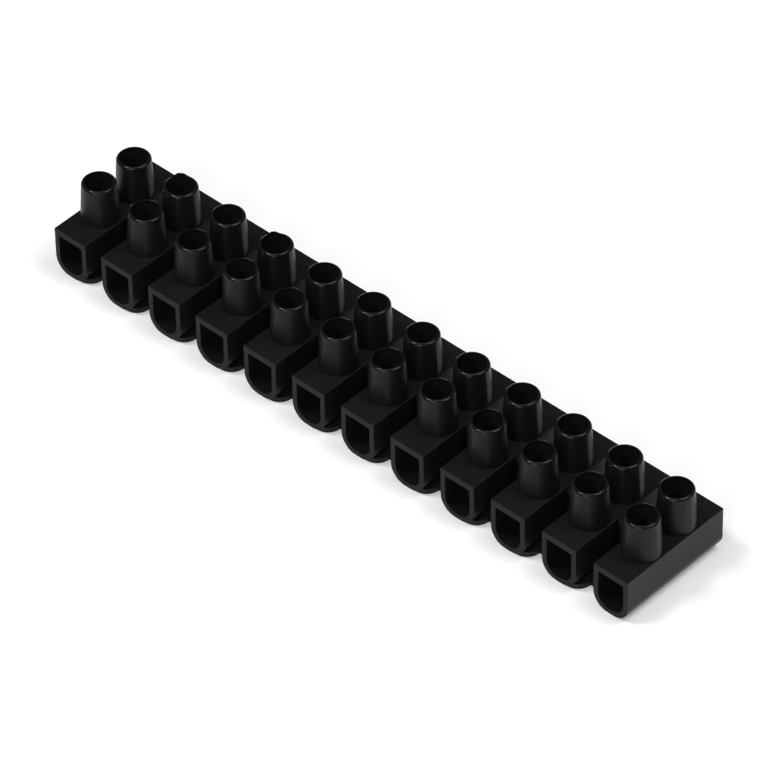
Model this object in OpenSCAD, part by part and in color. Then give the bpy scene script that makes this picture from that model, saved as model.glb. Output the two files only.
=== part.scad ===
// Pillar terminal strip: one moulded housing, a brass terminal tube in every pole,
// and two clamping screws in every tube. X runs along the strip, Y along the wires, Z is up.
// The origin is the middle of the underside.

/* [Strip] */
// Number of poles
poles = 12; // [2:1:16]
// Distance between neighbouring poles
pitch = 12; // [11.5:0.5:16]
// Width of the strip from wire mouth to wire mouth
strip_w = 25.4; // [24:0.2:32]

/* [Pole tube] */
// Width of one pole
tube_w = 7.9; // [7.8:0.1:8.4]
// Height of one pole without its towers
tube_h = 9.9; // [9.6:0.1:11]
// Radius of the rounded underside of a pole
belly_r = 3.4; // [3:0.1:3.8]
// Thickness of the moulded sides and floor
wall = 1.05; // [0.9:0.05:1.1]
// Thickness of the roof that carries the towers
roof = 1.35; // [1:0.05:1.5]
// Radius of the long top edges of a pole
edge_r = 0.1; // [0.1:0.05:0.4]

/* [Screw towers] */
// Height of a tower above its pole
tower_h = 8.3; // [6:0.1:10]
// Distance between the two towers of a pole
tower_gap = 9.2; // [8.6:0.1:11]
// Outside radius of a tower at its foot
tower_foot_r = 3.75; // [3.5:0.05:3.8]
// Outside radius of a tower below its rim
tower_top_r = 3.32; // [3.2:0.02:3.4]
// Radius of the shaft that guides the screw
shaft_r = 2.72; // [2.6:0.02:2.8]
// Rounding of the tower's outer rim
rim_r = 0.58; // [0.3:0.02:0.6]

/* [Webs] */
// Height of the floor web between two poles
web_h = 1.1; // [0.8:0.1:2]
// How far the web stands back from the wire mouths
web_setback = 3.1; // [3:0.1:6]
// Radius of the rounded foot pads beside the mouths
pad_r = 2.85; // [2.6:0.05:3]
// Outside radius of the pillar around a fixing hole
pillar_r = 2.5; // [2.3:0.1:2.7]
// Radius of a fixing hole
fixing_r = 1.65; // [1.5:0.05:1.8]

/* [Terminal tube] */
// Length of the brass tube
terminal_l = 14.4; // [13.6:0.2:16]
// Radius of the wire bore
bore_r = 2.3; // [2:0.05:2.4]
// Gap between the tube and the moulding
seat_gap = 0.05; // [0.03:0.01:0.08]

/* [Clamping screw] */
// Radius of the screw's thread
thread_r = 1.94; // [1.9:0.01:1.97]
// Radius of the tapped hole
tapped_r = 2; // [2:0.01:2.03]
// Radius of the screw head
head_r = 2.4; // [2.2:0.05:2.42]
// Height of the screw head
head_h = 1.7; // [1.4:0.1:2]
// Height of the raised head above the brass
head_lift = 2.6; // [2.6:0.1:3]
// Width of the driver slot
slot_w = 0.8; // [0.6:0.05:1]
// Depth of the driver slot
slot_d = 0.9; // [0.6:0.05:1]

/* [Hidden] */
$fn = 48;
half_w = tube_w / 2;
cavity_w = half_w - wall;
cavity_r = 2.6;
cavity_top = tube_h - roof;
mouth_y = strip_w / 2;
tower_y = tower_gap / 2;
web_l = strip_w - 2 * web_setback;
// The web and its pads end this far from the middle of a pole, on the flat of its underside
under = 0.3;
// The foot of a tower runs this far into the roof
root = 0.4;
pad_x = half_w + 0.8 - pad_r;
pad_y = mouth_y - pad_r - 0.25;
pillar_h = tube_h - 0.4;
bore_z = wall + seat_gap + 0.5 + bore_r;
screw_tip = bore_z + bore_r + 0.1;
head_z = cavity_top + head_lift;
tip_bevel = 0.5;
head_bevel = 0.25;
rows = [-1, 1];
row_names = ["front", "rear"];

function pole_x(i) = (i - (poles - 1) / 2) * pitch;
function two_digits(i) = str(i < 9 ? "0" : "", i + 1);
function terminal_name(i) = str("terminal_", two_digits(i));
function screw_name(i, r) = str("screw_", two_digits(i), "_", row_names[r]);

// Turns a section drawn in width and height into a length along Y, centred on Y = 0
module along_y(length) {
    rotate([90, 0, 0])
        linear_extrude(length, center = true) children();
}

// U-shaped section from the level low to the level high, with rounded lower corners
module u_section(half, r, low, high) {
    for (side = rows)
        translate([side * (half - r), low + r]) circle(r);
    translate([r - half, low]) square([2 * (half - r), high - low]);
    translate([-half, low + r]) square([2 * half, high - low - r]);
}

// Section of a pole: straight sides, a rounded underside and eased top edges
module pole_section() {
    u_section(half_w, belly_r, 0, tube_h - edge_r);
    translate([edge_r - half_w, belly_r]) square([tube_w - 2 * edge_r, tube_h - belly_r]);
    for (side = rows)
        translate([side * (half_w - edge_r), tube_h - edge_r]) circle(edge_r);
}

// Section of the hollow, and with a gap that of the brass tube in it
module hollow_section(gap) {
    u_section(cavity_w - gap, cavity_r - gap, wall + gap, cavity_top);
}

// Half section of a tower, from its foot in the roof to its rounded rim
module tower_section() {
    polygon([
        [0, -root],
        [tower_foot_r, -root],
        [tower_foot_r, 0],
        [tower_top_r, tower_h - rim_r],
        [0, tower_h - rim_r]
    ]);
    translate([0, tower_h - rim_r - root]) square([tower_top_r - rim_r, rim_r + root]);
    translate([tower_top_r - rim_r, tower_h - rim_r]) circle(rim_r);
}

module pole_outside() {
    along_y(strip_w) pole_section();
    for (row = rows)
        translate([0, row * tower_y, tube_h])
            rotate_extrude() tower_section();
}

module pole_inside() {
    along_y(strip_w + 2) hollow_section(0);
    for (row = rows)
        translate([0, row * tower_y, cavity_top - root])
            cylinder(r = shaft_r, h = tower_h + roof + 2 * root);
}

// What joins two neighbouring poles: floor web, foot pads and the pillar for a fixing screw
module link_outside() {
    intersection() {
        union() {
            translate([-pitch / 2, -web_l / 2, 0])
                cube([pitch, web_l, web_h]);
            for (side = rows, row = rows)
                translate([side * (pitch / 2 - pad_x), row * pad_y, 0])
                    cylinder(r = pad_r, h = web_h);
        }
        translate([under - pitch / 2, -strip_w / 2, -1])
            cube([pitch - 2 * under, strip_w, web_h + 2]);
    }
    cylinder(r = pillar_r, h = pillar_h);
}

module housing() {
    color("#1c1c1d")
        difference() {
            union() {
                for (i = [0:poles - 1])
                    translate([pole_x(i), 0, 0]) pole_outside();
                for (i = [0:poles - 2])
                    translate([pole_x(i) + pitch / 2, 0, 0]) link_outside();
            }
            for (i = [0:poles - 1])
                translate([pole_x(i), 0, 0]) pole_inside();
            for (i = [0:poles - 2])
                translate([pole_x(i) + pitch / 2, 0, -1])
                    cylinder(r = fixing_r, h = pillar_h + 2);
        }
}

module terminal(i) {
    color("#c8a24a")
        translate([pole_x(i), 0, 0])
            difference() {
                along_y(terminal_l) hollow_section(seat_gap);
                translate([0, 0, bore_z])
                    rotate([90, 0, 0])
                        cylinder(r = bore_r, h = terminal_l + 2, center = true);
                for (row = rows)
                    translate([0, row * tower_y, bore_z])
                        cylinder(r = tapped_r, h = tube_h);
            }
}

// A slotted cheese-head screw, drawn with its tip just clear of the wire bore
module screw(i, r) {
    color("#b6b9bd")
        translate([pole_x(i), rows[r] * tower_y, 0])
            difference() {
                rotate_extrude()
                    polygon([
                        [0, screw_tip],
                        [thread_r - tip_bevel, screw_tip],
                        [thread_r, screw_tip + tip_bevel],
                        [thread_r, head_z],
                        [head_r, head_z],
                        [head_r, head_z + head_h - head_bevel],
                        [head_r - head_bevel, head_z + head_h],
                        [0, head_z + head_h]
                    ]);
                translate([-head_r - 1, -slot_w / 2, head_z + head_h - slot_d])
                    cube([2 * head_r + 2, slot_w, slot_d + 1]);
            }
}

housing();
for (i = [0:poles - 1])
    terminal(i);
for (i = [0:poles - 1], r = [0, 1])
    screw(i, r);
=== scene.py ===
import math
import bmesh
import bpy
from mathutils import Matrix, Vector


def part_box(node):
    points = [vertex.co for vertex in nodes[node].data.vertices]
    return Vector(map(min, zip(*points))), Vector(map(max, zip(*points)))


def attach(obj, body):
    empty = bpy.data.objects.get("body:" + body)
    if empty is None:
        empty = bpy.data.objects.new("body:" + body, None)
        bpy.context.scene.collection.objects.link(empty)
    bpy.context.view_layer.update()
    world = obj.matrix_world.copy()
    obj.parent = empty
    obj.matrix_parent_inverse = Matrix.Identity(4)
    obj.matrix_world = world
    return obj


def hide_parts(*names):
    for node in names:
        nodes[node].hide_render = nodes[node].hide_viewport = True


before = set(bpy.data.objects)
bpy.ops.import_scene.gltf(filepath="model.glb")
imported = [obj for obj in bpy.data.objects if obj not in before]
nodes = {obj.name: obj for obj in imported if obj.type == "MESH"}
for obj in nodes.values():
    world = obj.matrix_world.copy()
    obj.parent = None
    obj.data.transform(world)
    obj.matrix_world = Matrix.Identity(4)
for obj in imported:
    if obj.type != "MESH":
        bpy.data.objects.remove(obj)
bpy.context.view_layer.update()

mm = 0.001
noiseSpan = (0.3, 0.7)     # most values of a noise texture lie in this span
scene = bpy.context.scene
print("frame loaded:", len(nodes), "nodes")


# sRGB hex to the linear colour that the shaders take
def hexColour(code):
    channels = [int(code[i:i + 2], 16) / 255 for i in (1, 3, 5)]
    linear = [c / 12.92 if c <= 0.04045 else ((c + 0.055) / 1.055) ** 2.4 for c in channels]
    return (*linear, 1.0)


# adds a node, sets its properties and sockets, and links what is given as a socket
def addNode(tree, kind, links=None, **settings):
    node = tree.nodes.new(kind)
    for name, value in settings.items():
        setattr(node, name, value)
    for name, value in (links or {}).items():
        socket = node.inputs[name]
        if isinstance(value, bpy.types.NodeSocket):
            tree.links.new(value, socket)
        else:
            socket.default_value = value
    return node


def newMaterial(name):
    material = bpy.data.materials.new(name)
    material.use_nodes = True
    tree = material.node_tree
    tree.nodes.clear()
    return material, tree


# Moulded polyamide: black nylon out of a spark-eroded steel mould. The eye sees a near-black satin skin
# with soft wide highlights, faint clouding in its gloss, a very fine grain, tower rims worn smooth, and
# duller end faces round the mouths, where the cores met the mould.
blackNylon = {
    "colour": "#121213",
    "cloudColour": "#181819",
    "roughness": (0.36, 0.44),
    "rimRoughness": 0.12,
    "mouthRoughness": 0.62,
    "ior": 1.53,
    "specular": 0.16,
    "cloudMm": 9.0,          # flow clouding over most of a pole
    "cloudDetail": 3.0,
    "grainMm": 0.35,         # real spark grain is near 0.05 mm, drawn coarser so that it shows
    "grainDetail": 4.0,
    "grainDepthMm": 0.010,
    "grainStrength": 0.35,
    "rimMm": (0.75, 0.45),   # the worn finish begins and is complete this far below the towers' top
    "mouthMm": 0.03,         # depth of the dull finish on the end faces of the poles
}


def makeNylon(spec):
    material, tree = newMaterial("mouldedNylon")
    _, mouth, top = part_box("housing")[1]
    wornFrom, wornTo = (top - depth * mm for depth in spec["rimMm"])
    coords = addNode(tree, "ShaderNodeTexCoord")
    place = addNode(tree, "ShaderNodeSeparateXYZ", {"Vector": coords.outputs["Object"]})
    clouds = addNode(tree, "ShaderNodeTexNoise",
                     {"Vector": coords.outputs["Object"], "Scale": 1 / (spec["cloudMm"] * mm),
                      "Detail": spec["cloudDetail"]})
    grain = addNode(tree, "ShaderNodeTexNoise",
                    {"Vector": coords.outputs["Object"], "Scale": 1 / (spec["grainMm"] * mm),
                     "Detail": spec["grainDetail"]})
    tint = addNode(tree, "ShaderNodeMix",
                   {"Factor": clouds.outputs["Fac"], "A": hexColour(spec["colour"]),
                    "B": hexColour(spec["cloudColour"])}, data_type="RGBA")

    # the gloss varies with the clouds, is high on the rims and low on the end faces
    gloss = addNode(tree, "ShaderNodeMapRange",
                    {"Value": clouds.outputs["Fac"], "From Min": noiseSpan[0], "From Max": noiseSpan[1],
                     "To Min": spec["roughness"][0], "To Max": spec["roughness"][1]})
    wornGloss = addNode(tree, "ShaderNodeMapRange",
                        {"Value": place.outputs["Z"], "From Min": wornFrom, "From Max": wornTo,
                         "To Min": gloss.outputs["Result"], "To Max": spec["rimRoughness"]})
    across = addNode(tree, "ShaderNodeMath", {0: place.outputs["Y"]}, operation="ABSOLUTE")
    mouthGloss = addNode(tree, "ShaderNodeMapRange",
                         {"Value": across.outputs[0], "From Min": mouth - spec["mouthMm"] * mm,
                          "From Max": mouth, "To Min": wornGloss.outputs["Result"],
                          "To Max": spec["mouthRoughness"]})
    bump = addNode(tree, "ShaderNodeBump",
                   {"Height": grain.outputs["Fac"], "Strength": spec["grainStrength"],
                    "Distance": spec["grainDepthMm"] * mm})
    surface = addNode(tree, "ShaderNodeBsdfPrincipled",
                      {"Base Color": tint.outputs["Result"], "Roughness": mouthGloss.outputs["Result"],
                       "Normal": bump.outputs["Normal"], "IOR": spec["ior"],
                       "Specular IOR Level": spec["specular"]})
    addNode(tree, "ShaderNodeOutputMaterial", {"Surface": surface.outputs["BSDF"]})
    return material


# Free-cutting brass: drawn bar, cut and drilled. A warm yellow metal with fine drawing lines along the wire.
drawnBrass = {
    "colour": "#c9a14a",
    "dullColour": "#a8823a",
    "roughness": (0.22, 0.40),
    "lineMm": 0.25,
    "lineLengthMm": 6.0,
    "lineDetail": 3.0,
}


# Zinc-plated steel: bright passivated plating with a slightly uneven, soft shine. Below the top of the head
# a painted shade darkens the plating, in the slot, on the sides of the head and down the thread.
zincPlate = {
    "colour": "#b9bcc3",
    "dullColour": "#9a9ea6",
    "roughness": (0.24, 0.42),
    "lineMm": 0.4,
    "lineLengthMm": 0.8,
    "lineDetail": 3.0,
    # painted shade: the dark colour painted into the slot and below the top of the head
    "paintedShadeColour": "#4d4f52",
    "paintedShadeMm": (0.5, 0.15),   # the painted shade is complete and begins this far below the top of the head
}


# with a top, what lies below it is darkened by painted shade
def makeMetal(name, spec, top=None):
    material, tree = newMaterial(name)
    across = 1 / (spec["lineMm"] * mm)
    along = 1 / (spec["lineLengthMm"] * mm)
    coords = addNode(tree, "ShaderNodeTexCoord")
    mapping = addNode(tree, "ShaderNodeMapping",
                      {"Vector": coords.outputs["Object"], "Scale": (across, along, across)})
    lines = addNode(tree, "ShaderNodeTexNoise",
                    {"Vector": mapping.outputs["Vector"], "Scale": 1.0, "Detail": spec["lineDetail"]})
    tint = addNode(tree, "ShaderNodeMix",
                   {"Factor": lines.outputs["Fac"], "A": hexColour(spec["colour"]),
                    "B": hexColour(spec["dullColour"])}, data_type="RGBA")
    gloss = addNode(tree, "ShaderNodeMapRange",
                    {"Value": lines.outputs["Fac"], "From Min": noiseSpan[0], "From Max": noiseSpan[1],
                     "To Min": spec["roughness"][0], "To Max": spec["roughness"][1]})
    if top is not None:
        # painted shade: below the top of the head the plating's colour fades to the dark shade colour
        shadeFull, shadeNone = (top - depth * mm for depth in spec["paintedShadeMm"])
        place = addNode(tree, "ShaderNodeSeparateXYZ", {"Vector": coords.outputs["Object"]})
        shadeFade = addNode(tree, "ShaderNodeMapRange",
                         {"Value": place.outputs["Z"], "From Min": shadeFull, "From Max": shadeNone})
        tint = addNode(tree, "ShaderNodeMix",
                       {"Factor": shadeFade.outputs["Result"], "A": hexColour(spec["paintedShadeColour"]),
                        "B": tint.outputs["Result"]}, data_type="RGBA")
    surface = addNode(tree, "ShaderNodeBsdfPrincipled",
                      {"Base Color": tint.outputs["Result"], "Roughness": gloss.outputs["Result"],
                       "Metallic": 1.0})
    addNode(tree, "ShaderNodeOutputMaterial", {"Surface": surface.outputs["BSDF"]})
    return material


def dress(node, material):
    node.data.materials.clear()
    node.data.materials.append(material)


nylon = makeNylon(blackNylon)
brass = makeMetal("drawnBrass", drawnBrass)
zinc = makeMetal("zincPlatedSteel", zincPlate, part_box("screw_01_front")[1][2])
for name, node in nodes.items():
    if name.startswith("terminal"):
        dress(node, brass)
    elif name.startswith("screw"):
        dress(node, zinc)
    else:
        dress(node, nylon)
print("materials set")


# Clamping screws: the slotted head is cut from the frame's own screw, and nodes grow the threaded shank
# under it. The values with a capital are inputs of the nodes.
clampScrew = {
    "headMm": 1.7,         # height of the head
    "neckMm": 0.3,         # plain neck kept under it
    "mergeMm": 0.001,      # corners closer than this are one
    "sharpDeg": 25.0,      # edges of the head that turn more than this stay sharp
    "Crest": 1.94 * mm,    # radius over the thread
    "Core": 1.61 * mm,     # radius between the threads
    "Ridge": 0.34 * mm,    # radius of the triangle that is swept into the thread
    "Pitch": 0.7 * mm,
    "Start": 0.05,         # share of its full size at which the thread begins
    "Tip": 1.15 * mm,      # radius of the blunt tip
    "Bevel": 0.45 * mm,    # how far the tip tapers
    "Steps": 24,           # along the shank
    "Facets": 28,          # round the shank, and for each turn of the thread
}


def makeShankTree():
    tree = bpy.data.node_groups.new("threadedShank", "GeometryNodeTree")
    sockets = {
        "Head": "Geometry", "Crest": "Float", "Core": "Float", "Ridge": "Float", "Pitch": "Float",
        "Start": "Float", "Tip": "Float", "Bevel": "Float", "Length": "Float", "Steps": "Int",
        "Facets": "Int", "Place": "Vector", "Finish": "Material",
    }
    for name, kind in sockets.items():
        tree.interface.new_socket(name, in_out="INPUT", socket_type="NodeSocket" + kind)
    tree.interface.new_socket("Screw", in_out="OUTPUT", socket_type="NodeSocketGeometry")
    given = addNode(tree, "NodeGroupInput").outputs
    along = addNode(tree, "GeometryNodeSplineParameter")

    # round bar with a tapered tip
    axis = addNode(tree, "GeometryNodeCurvePrimitiveLine",
                   {"Direction": (0, 0, 1), "Length": given["Length"]}, mode="DIRECTION")
    steps = addNode(tree, "GeometryNodeResampleCurve", {"Curve": axis.outputs[0], "Count": given["Steps"]})
    barRadius = addNode(tree, "ShaderNodeMapRange",
                        {"Value": along.outputs["Length"], "From Max": given["Bevel"],
                         "To Min": given["Tip"], "To Max": given["Core"]})
    ring = addNode(tree, "GeometryNodeCurvePrimitiveCircle", {"Resolution": given["Facets"], "Radius": 1.0})
    bar = addNode(tree, "GeometryNodeCurveToMesh",
                  {"Curve": steps.outputs[0], "Profile Curve": ring.outputs[0],
                   "Scale": barRadius.outputs[0], "Fill Caps": True})

    # triangle swept along a helix; it starts above the taper and grows out of the bar over the first turn
    helixRadius = addNode(tree, "ShaderNodeMath",
                          {0: given["Crest"], 1: given["Ridge"]}, operation="SUBTRACT")
    helixLength = addNode(tree, "ShaderNodeMath",
                          {0: given["Length"], 1: given["Bevel"]}, operation="SUBTRACT")
    turns = addNode(tree, "ShaderNodeMath",
                    {0: helixLength.outputs[0], 1: given["Pitch"]}, operation="DIVIDE")
    firstTurn = addNode(tree, "ShaderNodeMath",
                        {0: given["Crest"], 1: 2 * math.pi}, operation="MULTIPLY")
    helix = addNode(tree, "GeometryNodeCurveSpiral",
                    {"Resolution": given["Facets"], "Rotations": turns.outputs[0],
                     "Start Radius": helixRadius.outputs[0], "End Radius": helixRadius.outputs[0],
                     "Height": helixLength.outputs[0]})
    upright = addNode(tree, "GeometryNodeSetCurveNormal", {"Curve": helix.outputs[0]}, mode="Z_UP")
    grow = addNode(tree, "ShaderNodeMapRange",
                   {"Value": along.outputs["Length"], "From Max": firstTurn.outputs[0],
                    "To Min": given["Start"], "To Max": 1.0})
    triangle = addNode(tree, "GeometryNodeCurvePrimitiveCircle", {"Resolution": 3, "Radius": given["Ridge"]})
    pointOut = addNode(tree, "GeometryNodeTransform",
                       {"Geometry": triangle.outputs[0], "Rotation": (0, 0, math.pi)})
    ridge = addNode(tree, "GeometryNodeCurveToMesh",
                    {"Curve": upright.outputs[0], "Profile Curve": pointOut.outputs[0],
                     "Scale": grow.outputs[0], "Fill Caps": True})
    rise = addNode(tree, "ShaderNodeCombineXYZ", {"Z": given["Bevel"]})
    thread = addNode(tree, "GeometryNodeTransform",
                     {"Geometry": ridge.outputs[0], "Translation": rise.outputs[0]})

    shank = addNode(tree, "GeometryNodeJoinGeometry")
    for part in (bar, thread):
        tree.links.new(part.outputs[0], shank.inputs[0])
    placed = addNode(tree, "GeometryNodeTransform",
                     {"Geometry": shank.outputs[0], "Translation": given["Place"]})
    screw = addNode(tree, "GeometryNodeJoinGeometry")
    for part in (given["Head"], placed.outputs[0]):
        tree.links.new(part, screw.inputs[0])
    real = addNode(tree, "GeometryNodeRealizeInstances", {"Geometry": screw.outputs[0]})
    finished = addNode(tree, "GeometryNodeSetMaterial",
                       {"Geometry": real.outputs[0], "Material": given["Finish"]})
    addNode(tree, "NodeGroupOutput", {"Screw": finished.outputs[0]})
    return tree


# the frame's screw above the cut, closed again, with smooth round faces
def cutHead(node, cutHeight, spec):
    shape = bmesh.new()
    shape.from_mesh(node.data)
    bmesh.ops.remove_doubles(shape, verts=shape.verts, dist=spec["mergeMm"] * mm)
    cut = bmesh.ops.bisect_plane(shape, geom=shape.verts[:] + shape.edges[:] + shape.faces[:],
                                 plane_co=(0, 0, cutHeight), plane_no=(0, 0, 1), clear_inner=True)
    openEdges = [e for e in cut["geom_cut"] if isinstance(e, bmesh.types.BMEdge)]
    bmesh.ops.edgenet_fill(shape, edges=openEdges)
    bmesh.ops.recalc_face_normals(shape, faces=shape.faces)
    for face in shape.faces:
        face.smooth = True
    for edge in shape.edges:
        edge.smooth = edge.calc_face_angle(0) < math.radians(spec["sharpDeg"])
    mesh = bpy.data.meshes.new("screwHead")
    shape.to_mesh(mesh)
    shape.free()
    return mesh


# the modifier's result as a plain mesh on the same object
def bakeNodes(piece, tree, values):
    modifier = piece.modifiers.new("nodes", "NODES")
    modifier.node_group = tree
    for item in tree.interface.items_tree:
        if item.in_out == "INPUT" and item.name in values:
            modifier[item.identifier] = values[item.name]
    evaluated = piece.evaluated_get(bpy.context.evaluated_depsgraph_get())
    mesh = bpy.data.meshes.new_from_object(evaluated)
    piece.modifiers.clear()
    piece.data = mesh


def makeScrew(name, spec, tree):
    low, high = (Vector(corner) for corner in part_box(name))
    cutHeight = high.z - (spec["headMm"] + spec["neckMm"]) * mm
    head = cutHead(nodes[name], cutHeight, spec)
    piece = bpy.data.objects.new(name.replace("screw", "clampScrew"), head)
    scene.collection.objects.link(piece)
    place = ((low.x + high.x) / 2, (low.y + high.y) / 2, low.z)
    bakeNodes(piece, tree, {**spec, "Length": cutHeight - low.z, "Place": place, "Finish": zinc})
    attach(piece, name + "_body")
    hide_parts(name)


shankTree = makeShankTree()
screwNames = [name for name in nodes if name.startswith("screw")]
for name in screwNames:
    makeScrew(name, clampScrew, shankTree)
print("threaded screws:", len(screwNames))


# Slivers of moulding flash left standing on the rims of two rear towers
mouldFlash = {
    "radiiMm": (2.76, 3.04),   # from the edge of the shaft out onto the rounded rim
    "sunkMm": 0.2,             # how far its root goes into the rim
    "dropMm": 0.05,            # its two ends lie this far under the top of the rim
    "thinMm": 0.1,             # its crest is this much thinner than its root
    "peakPower": 1.4,          # a higher one makes a narrower peak
    "tornShare": 0.12,         # a torn edge is never quite even: how much of the height comes and goes,
    "tornTurn": 23,            # and through how many radians over the whole spread
    "steps": 16,
    # tower it stands on, direction of its middle and its spread in degrees, height in mm,
    # how much its peak leans off the middle
    "slivers": (
        ("screw_02_rear", 134.0, 80.0, 0.62, 0.10),
        ("screw_04_rear", 142.0, 54.0, 0.46, 0.10),
    ),
}


def makeFlash(spec):
    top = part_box("housing")[1][2]
    inner, outer = (radius * mm for radius in spec["radiiMm"])
    root = top - spec["sunkMm"] * mm
    shape = bmesh.new()
    for tower, middle, spread, height, lean in spec["slivers"]:
        low, high = (Vector(corner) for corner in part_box(tower))
        axis = (low + high) / 2
        rings = []
        for step in range(spec["steps"] + 1):
            share = step / spec["steps"]
            angle = math.radians(middle + spread * (share - 0.5))
            crest = math.sin(math.pi * share ** (1 + lean)) ** spec["peakPower"] * height * mm
            torn = 1 + spec["tornShare"] * math.sin(spec["tornTurn"] * share)
            peak = top + crest * torn - spec["dropMm"] * mm
            corners = ((inner, root), (outer, root), (outer - spec["thinMm"] * mm, peak), (inner, peak))
            rings.append([shape.verts.new((axis.x + r * math.cos(angle), axis.y + r * math.sin(angle), z))
                          for r, z in corners])
        sides = len(rings[0])
        for near, far in zip(rings, rings[1:]):
            for k in range(sides):
                after = (k + 1) % sides
                shape.faces.new((near[k], near[after], far[after], far[k]))
        shape.faces.new(rings[0])
        shape.faces.new(rings[-1])
    bmesh.ops.recalc_face_normals(shape, faces=shape.faces)
    mesh = bpy.data.meshes.new("mouldFlash")
    shape.to_mesh(mesh)
    shape.free()
    mesh.materials.append(nylon)
    piece = bpy.data.objects.new("mouldFlash", mesh)
    scene.collection.objects.link(piece)
    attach(piece, "strip")


makeFlash(mouldFlash)
print("mould flash set")


# The photograph's camera: a long lens, far away, looking down the strip from its right end
photoCamera = {
    "azimuthDeg": 43.480,
    "elevationDeg": 42.726,
    "rollDeg": -1.122,
    "focalPixels": 6535.0,
    "framePixels": 760,
    "sensorMm": 36.0,
    "placeMm": (594.161, -626.838, 803.862),
    "clipEndM": 20,
}


def makeCamera(spec):
    data = bpy.data.cameras.new("photoCamera")
    data.sensor_width = spec["sensorMm"]
    data.lens = spec["focalPixels"] / spec["framePixels"] * spec["sensorMm"]
    data.clip_end = spec["clipEndM"]
    azimuth, elevation, roll = (math.radians(spec[k]) for k in ("azimuthDeg", "elevationDeg", "rollDeg"))
    back = Vector((math.sin(azimuth) * math.cos(elevation), -math.cos(azimuth) * math.cos(elevation),
                   math.sin(elevation)))
    right = Vector((math.cos(azimuth), math.sin(azimuth), 0))
    up = back.cross(right)
    turned = right * math.cos(roll) + up * math.sin(roll)
    upright = up * math.cos(roll) - right * math.sin(roll)
    camera = bpy.data.objects.new("photoCamera", data)
    scene.collection.objects.link(camera)
    axes = Matrix((turned, upright, back)).transposed().to_4x4()
    camera.matrix_world = Matrix.Translation(Vector(spec["placeMm"]) * mm) @ axes
    return camera


scene.camera = makeCamera(photoCamera)
print("camera set")


# White table under soft lamps; a little white of its own is added only for what the eye or a reflection sees
studio = {
    "floorM": 6.0,
    "floorColour": "#f6f6f6",
    "floorLift": 0.14,
    "worldColour": "#ffffff",
    "worldStrength": 0.08,
    # name, place in metres, size in metres, power in watts; each lamp faces the strip
    "lamps": (
        ("topSheet", (0.0, 0.0, 1.8), 1.10, 4.2),
        ("fillSheet", (0.46, -1.22, 0.80), 1.00, 8.6),
        ("rightBox", (0.44, 0.33, 1.07), 0.60, 5.4),
        ("leftBox", (-0.35, -0.42, 1.07), 0.38, 6.0),
    ),
}


def makeStudio(spec):
    half = spec["floorM"] / 2
    corners = [(-half, -half, 0), (half, -half, 0), (half, half, 0), (-half, half, 0)]
    mesh = bpy.data.meshes.new("floor")
    mesh.from_pydata(corners, [], [(0, 1, 2, 3)])
    floor = bpy.data.objects.new("floor", mesh)
    scene.collection.objects.link(floor)
    material, tree = newMaterial("whiteTable")
    rays = addNode(tree, "ShaderNodeLightPath")
    seen = addNode(tree, "ShaderNodeMath",
                   {0: rays.outputs["Is Camera Ray"], 1: rays.outputs["Is Glossy Ray"]},
                   operation="MAXIMUM")
    seenThrough = addNode(tree, "ShaderNodeMath",
                          {0: seen.outputs[0], 1: rays.outputs["Is Transmission Ray"]},
                          operation="MAXIMUM")
    lift = addNode(tree, "ShaderNodeMath",
                   {0: seenThrough.outputs[0], 1: spec["floorLift"]}, operation="MULTIPLY")
    white = addNode(tree, "ShaderNodeBsdfDiffuse", {"Color": hexColour(spec["floorColour"])})
    glow = addNode(tree, "ShaderNodeEmission", {"Strength": lift.outputs[0]})
    both = addNode(tree, "ShaderNodeAddShader", {0: white.outputs[0], 1: glow.outputs[0]})
    addNode(tree, "ShaderNodeOutputMaterial", {"Surface": both.outputs[0]})
    mesh.materials.append(material)

    world = bpy.data.worlds.new("studioRoom")
    scene.world = world
    world.use_nodes = True
    world.node_tree.nodes.clear()
    room = addNode(world.node_tree, "ShaderNodeBackground",
                   {"Color": hexColour(spec["worldColour"]), "Strength": spec["worldStrength"]})
    addNode(world.node_tree, "ShaderNodeOutputWorld", {"Surface": room.outputs[0]})

    for name, place, size, power in spec["lamps"]:
        data = bpy.data.lights.new(name, "AREA")
        data.shape = "DISK"
        data.size = size
        data.energy = power
        lamp = bpy.data.objects.new(name, data)
        scene.collection.objects.link(lamp)
        turn = Vector(place).to_track_quat("Z", "Y").to_matrix().to_4x4()
        lamp.matrix_world = Matrix.Translation(place) @ turn


makeStudio(studio)
scene.view_settings.view_transform = "Standard"
print("studio set")
